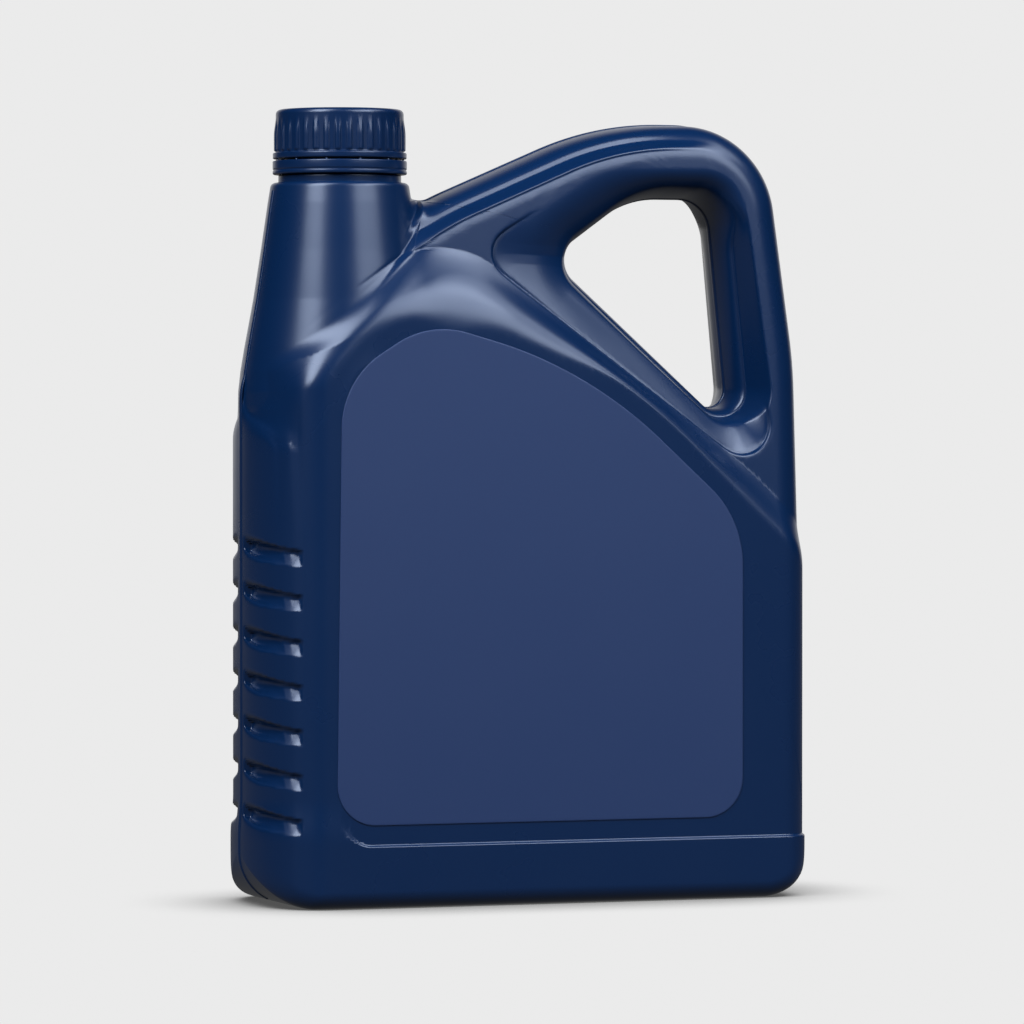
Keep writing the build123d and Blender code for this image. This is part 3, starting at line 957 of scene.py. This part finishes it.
def build_skin(material, sizes):
    """The skin as a front and a back half, and its left and upper edge as (x, z) points."""
    rows = strip_rows()
    strip = strip_patch(rows, sizes)
    plinth = plinth_patch(rows[rows <= PLINTH_TOP + NEAR], strip, sizes)
    curve = valley_curve(CURVE_POINTS)
    cone = cone_patch(rows[rows >= SIDE_TOP - NEAR], curve, strip, sizes)
    loop, kinds = outer_loop(curve, plinth[-1][:, [0, 2]])
    main = main_patch(loop, kinds, cone, sizes)
    shoulder = shoulder_patch(strip, cone)
    patches = [(points, front_normals(points, sizes)) for points in (strip, cone, main, plinth)]
    patches.append((shoulder, shoulder * 0))
    beside = (rows >= PLINTH_TOP - NEAR) & (rows <= SIDE_TOP + NEAR)
    halves = []
    for side, name in ((1, "skin_front"), (-1, "skin_back")):
        skin = Surface()
        flip = side < 0
        mirror_y = np.array([1, side, 1])
        strip_at, cone_at, main_at, plinth_at, shoulder_at = [
            skin.add(points * mirror_y, normals * mirror_y) for points, normals in patches]
        closed = np.vstack([main_at, main_at[:1]])
        for numbers in (strip_at, cone_at, closed, plinth_at, shoulder_at):
            skin.grid(numbers, flip=flip)
        seam = np.append(main_at[kinds == BY_STRIP, 0], main_at[kinds == BY_CONE, 0][0])
        skin.strip(strip_at[beside, -1], seam, flip=not flip)
        if side > 0:
            skin.grid(skin.add(base_patch(rows, strip, plinth)))
        halves.append(skin.make(name, material))
    upper = np.vstack([cone[::-1, -1], main[kinds == ON_OUTLINE, 0]])
    return halves, strip[:, 0][:, [0, 2]], upper[:, [0, 2]]


def revolved(surface, profile, segments, radius_change=None):
    """Surface of revolution about the neck's axis; the profile goes round anticlockwise from outside."""
    turn = np.linspace(0, 2 * math.pi, segments, endpoint=False)
    radius, height = np.array(profile, float).T
    radius = np.repeat(radius[:, None], segments, axis=1)
    height = np.repeat(height[:, None], segments, axis=1)
    if radius_change:
        radius = radius + radius_change(turn[None], height, radius)
    points = np.stack([NECK_X + radius * np.cos(turn), radius * np.sin(turn), height], axis=-1)
    surface.grid(surface.add(points), closed=True)


def rounded_profile(corners, arc_step=0.35, span=None):
    """Points of an open profile of (radius, z, fillet radius) with its corners rounded."""
    points = []
    for i, (r, z, fillet) in enumerate(corners):
        here = np.array([r, z], float)
        if not fillet or i in (0, len(corners) - 1):
            points.append(here)
            continue
        to_before = np.array(corners[i - 1][:2], float) - here
        to_after = np.array(corners[i + 1][:2], float) - here
        to_before /= np.linalg.norm(to_before)
        to_after /= np.linalg.norm(to_after)
        half = math.acos(np.clip(to_before @ to_after, -1, 1)) / 2
        middle = (to_before + to_after) / np.linalg.norm(to_before + to_after)
        centre = here + middle * fillet / math.sin(half)
        first = here + to_before * fillet / math.tan(half) - centre
        last = here + to_after * fillet / math.tan(half) - centre
        sweep = math.pi - 2 * half
        count = max(int(fillet * sweep / arc_step), 3)
        for k in range(count + 1):
            t = k / count
            mix = first * math.sin((1 - t) * sweep) + last * math.sin(t * sweep)
            points.append(centre + mix / math.sin(sweep))
    if span:
        dense = [points[0]]
        for point in points[1:]:
            gap = np.linalg.norm(point - dense[-1])
            cuts = max(int(math.ceil(gap / span)), 1)
            before = dense[-1]
            dense.extend(before + (point - before) * k / cuts for k in range(1, cuts + 1))
        points = dense
    return np.array(points)


def bead_along(surface, path, width, height, closed):
    """Low rounded bead along a path in the plane y = 0, standing out to its left."""
    count = len(path)
    if closed:
        along = np.roll(path, -1, axis=0) - np.roll(path, 1, axis=0)
    else:
        along = np.gradient(path, axis=0)
    along = along / np.maximum(np.linalg.norm(along, axis=1), 1e-9)[:, None]
    out = np.stack([-along[:, 1], along[:, 0]], axis=1)
    turn = np.linspace(0, math.pi, 9)
    side = -np.cos(turn) * width / 2
    rise = np.sin(turn) ** 0.4 * (height + 0.25) - 0.25
    points = np.empty((count, len(turn), 3))
    points[..., 0] = path[:, :1] + out[:, :1] * rise
    points[..., 1] = side
    points[..., 2] = path[:, 1:] + out[:, 1:] * rise
    numbers = surface.add(points)
    if closed:
        numbers = np.vstack([numbers, numbers[:1]])
    surface.grid(numbers, flip=True)


def helix(turn, height, start, pitch, turns, width):
    """Height of a thread's ridge, from 0 to 1, round a cylinder."""
    level = (height - start) / pitch - turn / (2 * math.pi)
    nearest = np.clip(np.round(level), 0, turns)
    off = np.abs(level - nearest) * pitch
    along = nearest + turn / (2 * math.pi)
    ends = ease(along / 0.08) * ease((turns + 0.02 - along) / 0.08)
    return (1 - ease((off - width * 0.2) / (width * 0.45))) * ends


def empty_nodes(owner):
    """Turn on a material's or world's nodes, clear them, and return the nodes and links."""
    owner.use_nodes = True
    owner.node_tree.nodes.clear()
    return owner.node_tree.nodes, owner.node_tree.links


def map_range(nodes, **limits):
    """Map Range node with the given limits, such as to_min."""
    node = nodes.new("ShaderNodeMapRange")
    for name, value in limits.items():
        node.inputs[name.replace("_", " ").title()].default_value = value
    return node


def noise(nodes, scale, detail):
    """Noise node of a given scale and detail."""
    node = nodes.new("ShaderNodeTexNoise")
    node.inputs["Scale"].default_value = scale
    node.inputs["Detail"].default_value = detail
    return node


def polymer(name, colour, roughness, grain):
    """Satin plastic of one colour, with the fine grain and uneven finish of the shared group."""
    material = bpy.data.materials.new(name)
    nodes, links = empty_nodes(material)
    finish = nodes.new("ShaderNodeGroup")
    finish.node_tree = satin_finish()
    finish.inputs["Roughness"].default_value = roughness
    finish.inputs["Grain"].default_value = grain
    shader = nodes.new("ShaderNodeBsdfPrincipled")
    shader.inputs["Base Color"].default_value = (*colour, 1)
    shader.inputs["IOR"].default_value = 1.5
    links.new(finish.outputs["Roughness"], shader.inputs["Roughness"])
    links.new(finish.outputs["Normal"], shader.inputs["Normal"])
    out = nodes.new("ShaderNodeOutputMaterial")
    links.new(shader.outputs["BSDF"], out.inputs["Surface"])
    return material


def satin_finish():
    """Node group shared by the plastics: base roughness and grain in, roughness and normal out."""
    if "Satin finish" in bpy.data.node_groups:
        return bpy.data.node_groups["Satin finish"]
    group = bpy.data.node_groups.new("Satin finish", "ShaderNodeTree")
    for name, way, kind in (("Roughness", "INPUT", "Float"), ("Grain", "INPUT", "Float"),
                            ("Roughness", "OUTPUT", "Float"), ("Normal", "OUTPUT", "Vector")):
        group.interface.new_socket(name, in_out=way, socket_type="NodeSocket" + kind)
    nodes, links = group.nodes, group.links
    given = nodes.new("NodeGroupInput")
    made = nodes.new("NodeGroupOutput")
    place = nodes.new("ShaderNodeTexCoord")
    fine = noise(nodes, 1400, 3)
    slow = noise(nodes, 22, 4)
    for pattern in (fine, slow):
        links.new(place.outputs["Object"], pattern.inputs["Vector"])
    spread = map_range(nodes, to_min=-0.035, to_max=0.035)
    links.new(slow.outputs["Fac"], spread.inputs["Value"])
    uneven = nodes.new("ShaderNodeMath")
    uneven.operation = "ADD"
    links.new(given.outputs["Roughness"], uneven.inputs[0])
    links.new(spread.outputs["Result"], uneven.inputs[1])
    bump = nodes.new("ShaderNodeBump")
    bump.inputs["Distance"].default_value = 0.00002
    links.new(given.outputs["Grain"], bump.inputs["Strength"])
    links.new(fine.outputs["Fac"], bump.inputs["Height"])
    links.new(uneven.outputs["Value"], made.inputs["Roughness"])
    links.new(bump.outputs["Normal"], made.inputs["Normal"])
    return group


class BOTTLE_OT_skin(bpy.types.Operator):
    """Build the moulded skin of the bottle with its parting line"""
    bl_idname = "bottle.skin"
    bl_label = "Moulded skin"

    def execute(self, context):
        wanted = context.scene.bottle_sizes
        sizes = {"groove_depth": wanted.groove_depth / MM, "ledge": wanted.ledge / MM}
        material = polymer("satin_bottle", wanted.colour, wanted.roughness, 0.35)
        halves, left, upper = build_skin(material, sizes)
        for half in halves:
            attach(half, "bottle")
            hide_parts("bottle")
        line = Surface()
        bead = {"width": wanted.parting_width / MM, "height": wanted.parting_proud / MM}
        foot = 2.0
        bead_along(line, resample(left[left[:, 1] >= foot], 1.2), closed=False, **bead)
        low = np.linspace(foot, PLINTH_TOP - 0.5, 30)
        corner = np.stack([plinth_plan(low)[0][:, -1], low], axis=1)[::-1]
        bead_along(line, resample(np.vstack([upper, corner]), 1.0), closed=False, **bead)
        bead_along(line, outline_loop(hole_outline, 1.0)[::-1], closed=True, **bead)
        ridge = line.make("parting_line", material)
        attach(ridge, "bottle")
        return {"FINISHED"}


class BOTTLE_OT_neck(bpy.types.Operator):
    """Build the neck with its collar, bead, thread and bore"""
    bl_idname = "bottle.neck"
    bl_label = "Neck finish"

    def execute(self, context):
        pitch = context.scene.cap_sizes.thread_pitch / MM
        material = bpy.data.materials["satin_bottle"]
        neck = Surface()
        collar = SHOULDER + RING_HEIGHT
        inner_end = 250.0
        outside = rounded_profile([
            (RING_RADIUS, SHOULDER - 0.3, 0),
            (RING_RADIUS, collar, 0.6),
            (NECK_RADIUS, collar, 0.3),
            (NECK_RADIUS, BEAD_Z, 0.2),
            (NECK_RADIUS + BEAD_PROUD, BEAD_Z, 0.2),
            (NECK_RADIUS + BEAD_PROUD, BEAD_Z + 0.6, 0.3),
            (NECK_RADIUS, BEAD_Z + 2.5, 0.5),
            (NECK_RADIUS, NECK_TOP, 0.6),
            (NECK_BORE, NECK_TOP, 0.6),
            (NECK_BORE, SHOULDER - 0.8, 1.2),
            (cone_radius(RING_Z) - 1.6, SHOULDER - 1.6, 1.0),
            (cone_radius(inner_end) - 1.2, inner_end, 0),
        ], 0.25, 0.45)

        def ridge(turn, height, radius):
            on_wall = np.abs(radius - NECK_RADIUS) < 0.02
            return 1.1 * helix(turn, height, THREAD_Z, pitch, THREAD_TURNS, 2.6) * on_wall

        revolved(neck, outside, 192, radius_change=ridge)
        made = neck.make("neck_finish", material)
        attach(made, "bottle")
        return {"FINISHED"}


class BOTTLE_OT_label(bpy.types.Operator):
    """Build the blank label film on the front panel"""
    bl_idname = "bottle.label"
    bl_label = "Label film"

    def execute(self, context):
        wanted = context.scene.label_sizes
        material = polymer("blank_film", wanted.colour, wanted.roughness, 0.12)
        loop = outline_loop(label_outline, 1.0)
        if area(loop) < 0:
            loop = loop[::-1]
        front = label_low[1]
        thick = label_high[1] - front
        turn = np.linspace(0, math.pi / 2, 5)
        insets = [*(wanted.edge / MM * (1 - np.cos(turn))), 1.0, 4.0, 12.0]
        depths = [*(front + thick * (1 - np.sin(turn))), front, front, front]
        rings = []
        for inset, y in zip(insets, depths):
            moved = shrink(loop, inset)
            rings.append(np.stack([moved[:, 0], np.full(len(moved), y), moved[:, 1]], axis=1))
        last = rings[-1]
        centre = last.mean(axis=0)
        for share in (0.6, 0.3, 0.0):
            rings.append(centre + (last - centre) * share)
        film = Surface()
        film.grid(film.add(np.array(rings)), closed=True)
        made = film.make("label_face", material)
        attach(made, "bottle")
        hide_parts("label")
        return {"FINISHED"}


def area(loop):
    """Signed area of a closed loop of (x, z) points."""
    x, z = loop.T
    return 0.5 * np.sum(x * np.roll(z, -1) - np.roll(x, -1) * z)


def shrink(loop, inset):
    """Closed anticlockwise loop moved inward."""
    along = np.roll(loop, -1, axis=0) - np.roll(loop, 1, axis=0)
    along /= np.linalg.norm(along, axis=1)[:, None]
    return loop + np.stack([-along[:, 1], along[:, 0]], axis=1) * inset


class BOTTLE_OT_cap(bpy.types.Operator):
    """Build the screw cap with its grip ribs and its thread"""
    bl_idname = "bottle.cap"
    bl_label = "Screw cap"

    def execute(self, context):
        wanted = context.scene.cap_sizes
        rib_height, pitch = wanted.rib_height / MM, wanted.thread_pitch / MM
        material = polymer("satin_cap", wanted.colour, wanted.roughness, 0.3)
        low, high = cap_low[2], cap_high[2]
        flange = (cap_high[0] - cap_low[0]) / 2
        root = flange - RIB_ROOT
        bore = root - CAP_WALL
        foot = low + FLANGE_HIGH
        outside = rounded_profile([
            (bore, low, 0),
            (flange, low, 0.45),
            (flange, foot, 0.45),
            (root, foot + 0.1, 0.35),
            (root, high, 2.0),
            (root - 3.2, high, 0.4),
            (root - 3.9, high - CAP_DISH, 0.4),
            (0, high - CAP_DISH, 0),
        ], 0.22, 0.5)
        rib_low, rib_high = foot + 0.5, high - 2.6

        def ribs(turn, height, radius):
            wave = 0.5 + 0.5 * np.cos(turn * wanted.ribs)
            window = fade(height, rib_low, 0.5) * ease((rib_high - height) / 8.0)
            return rib_height * fade(wave, 0.38, 0.42) * window * (radius > root - 0.5)

        cap = Surface()
        revolved(cap, outside, wanted.ribs * 16, radius_change=ribs)
        inside_wall = rounded_profile([
            (0, high - CAP_TOP, 0),
            (bore, high - CAP_TOP, 0.5),
            (bore, low, 0),
        ], 0.3, 0.5)

        def inner_thread(turn, height, radius):
            on_wall = radius > bore - 0.02
            return -1.0 * helix(turn, height, THREAD_Z + pitch / 2, pitch, 1.4, 2.4) * on_wall

        revolved(cap, inside_wall, 192, radius_change=inner_thread)
        made = cap.make("cap_body", material)
        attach(made, "cap")
        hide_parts("cap")
        return {"FINISHED"}


class BOTTLE_OT_liner(bpy.types.Operator):
    """Build the foam liner inside the cap"""
    bl_idname = "bottle.liner"
    bl_label = "Cap liner"

    def execute(self, context):
        material = polymer("pale_foam", (0.72, 0.72, 0.68), 0.75, 0.6)
        radius = (liner_high[0] - liner_low[0]) / 2
        low, high = liner_low[2], liner_high[2]
        profile = rounded_profile([
            (0, low, 0),
            (radius, low, 0.25),
            (radius, high, 0.25),
            (0, high, 0),
        ], 0.1)
        wad = Surface()
        revolved(wad, profile, 144)
        made = wad.make("liner_disc", material)
        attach(made, "liner")
        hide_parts("cap_liner")
        return {"FINISHED"}


class BOTTLE_OT_band(bpy.types.Operator):
    """Build the tamper-evident band with its snap lip and bridge stubs"""
    bl_idname = "bottle.band"
    bl_label = "Tamper band"

    def execute(self, context):
        wanted = context.scene.cap_sizes
        material = bpy.data.materials["satin_cap"]
        radius = (band_high[0] - band_low[0]) / 2
        low = band_low[2]
        top = cap_low[2] - 0.8
        inner = radius - BAND_WALL
        lip = inner - 1.6
        ring = Surface()
        revolved(ring, rounded_profile([
            (inner, low + 2.8, 0),
            (lip, low + 1.2, 0.15),
            (lip, low, 0.2),
            (radius, low, 0.6),
            (radius, low + 1.2, 0.3),
            (radius - 0.25, low + 1.5, 0.2),
            (radius - 0.25, low + 2.0, 0.2),
            (radius, low + 2.3, 0.3),
            (radius, top, 0.5),
            (inner, top, 0.2),
            (inner, low + 2.8, 0),
        ], 0.15), 192)
        for i in range(wanted.bridges):
            stub(ring, 2 * math.pi * i / wanted.bridges, radius - BAND_WALL / 2, top, band_high[2])
        made = ring.make("band_ring", material)
        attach(made, "bottle")
        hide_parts("tamper_band")
        return {"FINISHED"}


STUB = ((0, 0.7, 0.5), (0.3, 0.6, 0.45), (0.9, 0.42, 0.35), (1.0, 0.2, 0.2))   # height, half sizes


def stub(surface, turn, radius, low, high):
    """One small broken bridge, narrower at its torn top."""
    rings = []
    foot = low - 0.1
    angle = np.linspace(0, 2 * math.pi, 12, endpoint=False)
    for share, half_width, half_thick in STUB:
        across = half_width * np.cos(angle)
        deep = radius + half_thick * np.sin(angle)
        x = NECK_X + deep * math.cos(turn) - across * math.sin(turn)
        y = deep * math.sin(turn) + across * math.cos(turn)
        rings.append(np.stack([x, y, np.full_like(x, foot + (high - foot) * share)], axis=1))
    surface.grid(surface.add(np.array(rings)), closed=True, flip=True)


# Stage, in metres, degrees and watts
CAMERA_TURN = -20.0        # round the bottle from its front
CAMERA_AWAY = 2.480
CAMERA_HIGH = 0.2006
CAMERA_DOWN = 1.019        # tilt below level
CAMERA_FOCAL = 6100        # in pixels of a square picture
PICTURE = 1024
SENSOR = 36                # mm
LAMP_AWAY = 1.6
LAMP_AIM = (0, 0, 0.2)
LAMP_COLOUR = (0.68, 0.79, 1.0)
SOFTBOXES = {              # azimuth, lower edge, width, height, power
    "softbox_left": (-60.0, 0.72, 1.0, 1.7, 72),
    "softbox_right": (24.0, 0.72, 1.3, 1.2, 40),
    "softbox_high": (52.0, 1.5, 1.5, 0.9, 22),
}
ROOM = 0.012               # brightness of the room towards the camera
FLOOR_HALF = 9000          # half the floor's side, in mm
FLOOR_DROP = 0.05          # gap under the bottle, in mm


class BOTTLE_OT_stage(bpy.types.Operator):
    """Set up the floor, the light and the camera"""
    bl_idname = "bottle.stage"
    bl_label = "Stage"

    def execute(self, context):
        wanted = context.scene.stage_sizes
        scene = context.scene
        make_world(scene, wanted.backdrop)
        make_floor(wanted.backdrop)
        for name, (azimuth, low, width, height, power) in SOFTBOXES.items():
            softbox(name, azimuth, low, width, height, power * wanted.light)
        data = bpy.data.cameras.new("camera")
        data.sensor_width = SENSOR
        data.lens = CAMERA_FOCAL / PICTURE * SENSOR
        data.clip_start, data.clip_end = 0.1, 50
        camera = bpy.data.objects.new("camera", data)
        turn = math.radians(CAMERA_TURN)
        camera.location = (CAMERA_AWAY * math.sin(turn), -CAMERA_AWAY * math.cos(turn), CAMERA_HIGH)
        camera.rotation_euler = (math.radians(90 - CAMERA_DOWN), 0, turn)
        scene.collection.objects.link(camera)
        scene.camera = camera
        scene.view_settings.view_transform = "Standard"
        return {"FINISHED"}


def make_world(scene, brightness):
    """Plain light backdrop; towards the camera the room is dark, as in a studio."""
    world = bpy.data.worlds.new("studio")
    scene.world = world
    nodes, links = empty_nodes(world)
    place = nodes.new("ShaderNodeTexCoord")
    away = nodes.new("ShaderNodeVectorMath")
    away.operation = "DOT_PRODUCT"
    turn = math.radians(CAMERA_TURN)
    away.inputs[1].default_value = (-math.sin(turn), math.cos(turn), 0)
    links.new(place.outputs["Generated"], away.inputs[0])
    ramp = map_range(nodes, from_min=0.68, from_max=0.97, to_min=ROOM, to_max=brightness)
    ramp.interpolation_type = "SMOOTHSTEP"
    links.new(away.outputs["Value"], ramp.inputs["Value"])
    mix = camera_mix(nodes, links)
    links.new(ramp.outputs["Result"], mix.inputs["A"])
    mix.inputs["B"].default_value = brightness
    shade = nodes.new("ShaderNodeBackground")
    shade.inputs["Color"].default_value = (1, 1, 1, 1)
    links.new(mix.outputs["Result"], shade.inputs["Strength"])
    out = nodes.new("ShaderNodeOutputWorld")
    links.new(shade.outputs["Background"], out.inputs["Surface"])


def camera_mix(nodes, links):
    """Mix of two values: A lights the object and B is what the camera sees."""
    path = nodes.new("ShaderNodeLightPath")
    mix = nodes.new("ShaderNodeMix")
    mix.data_type = "FLOAT"
    links.new(path.outputs["Is Camera Ray"], mix.inputs["Factor"])
    return mix


def make_floor(brightness):
    """Light floor that shows only the soft contact shadow."""
    side = np.array([-FLOOR_HALF, FLOOR_HALF])
    x, y = np.meshgrid(side, side)
    floor = Surface()
    floor.grid(floor.add(np.stack([x, y, np.full_like(x, -FLOOR_DROP, float)], axis=-1)))
    material = bpy.data.materials.new("floor")
    nodes, links = empty_nodes(material)
    near = nodes.new("ShaderNodeAmbientOcclusion")
    near.samples = 12
    near.inputs["Distance"].default_value = 0.06
    curve = map_range(nodes, from_min=0.25, from_max=0.9, to_min=brightness * 0.1, to_max=brightness)
    links.new(near.outputs["AO"], curve.inputs["Value"])
    mix = camera_mix(nodes, links)
    mix.inputs["A"].default_value = 0.12
    links.new(curve.outputs["Result"], mix.inputs["B"])
    shade = nodes.new("ShaderNodeEmission")
    links.new(mix.outputs["Result"], shade.inputs["Strength"])
    out = nodes.new("ShaderNodeOutputMaterial")
    links.new(shade.outputs["Emission"], out.inputs["Surface"])
    floor.make("floor", material)


def softbox(name, azimuth, low, width, height, power):
    """Upright softbox beside or before the bottle, aimed at it; low is its lower edge."""
    data = bpy.data.lights.new(name, "AREA")
    data.shape = "RECTANGLE"
    data.size, data.size_y = width, height
    data.energy = power
    data.color = LAMP_COLOUR
    light = bpy.data.objects.new(name, data)
    turn = math.radians(azimuth)
    light.location = (LAMP_AWAY * math.sin(turn), -LAMP_AWAY * math.cos(turn), low + height / 2)
    aim = Vector(LAMP_AIM) - light.location
    light.rotation_euler = aim.to_track_quat("-Z", "Y").to_euler()
    bpy.context.scene.collection.objects.link(light)


class BOTTLE_PT_panel(bpy.types.Panel):
    """Sizes, colours and build steps of the bottle"""
    bl_idname = "BOTTLE_PT_panel"
    bl_label = "Motor oil bottle"
    bl_space_type = "VIEW_3D"
    bl_region_type = "UI"
    bl_category = "Bottle"

    def draw(self, context):
        for name in GROUPS:
            box = self.layout.box()
            settings = getattr(context.scene, name)
            for prop in settings.bl_rna.properties:
                if prop.identifier not in ("rna_type", "name"):
                    box.prop(settings, prop.identifier)
        for step in STEPS:
            self.layout.operator(step.bl_idname)


GROUPS = {
    "bottle_sizes": BottleSizes,
    "label_sizes": LabelSizes,
    "cap_sizes": CapSizes,
    "stage_sizes": StageSizes,
}
STEPS = (
    BOTTLE_OT_skin,
    BOTTLE_OT_neck,
    BOTTLE_OT_label,
    BOTTLE_OT_cap,
    BOTTLE_OT_liner,
    BOTTLE_OT_band,
    BOTTLE_OT_stage,
)


def register():
    """Add the settings, the build steps and the panel."""
    for name, group in GROUPS.items():
        bpy.utils.register_class(group)
        setattr(bpy.types.Scene, name, bpy.props.PointerProperty(type=group))
    for kind in (*STEPS, BOTTLE_PT_panel):
        bpy.utils.register_class(kind)


def unregister():
    """Take them away again."""
    for kind in (BOTTLE_PT_panel, *reversed(STEPS)):
        bpy.utils.unregister_class(kind)
    for name, group in GROUPS.items():
        delattr(bpy.types.Scene, name)
        bpy.utils.unregister_class(group)


def main():
    """Build every piece."""
    register()
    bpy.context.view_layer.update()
    bpy.ops.bottle.skin()
    bpy.ops.bottle.neck()
    bpy.ops.bottle.label()
    bpy.ops.bottle.cap()
    bpy.ops.bottle.liner()
    bpy.ops.bottle.band()
    bpy.ops.bottle.stage()
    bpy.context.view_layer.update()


if __name__ == "__main__":
    main()
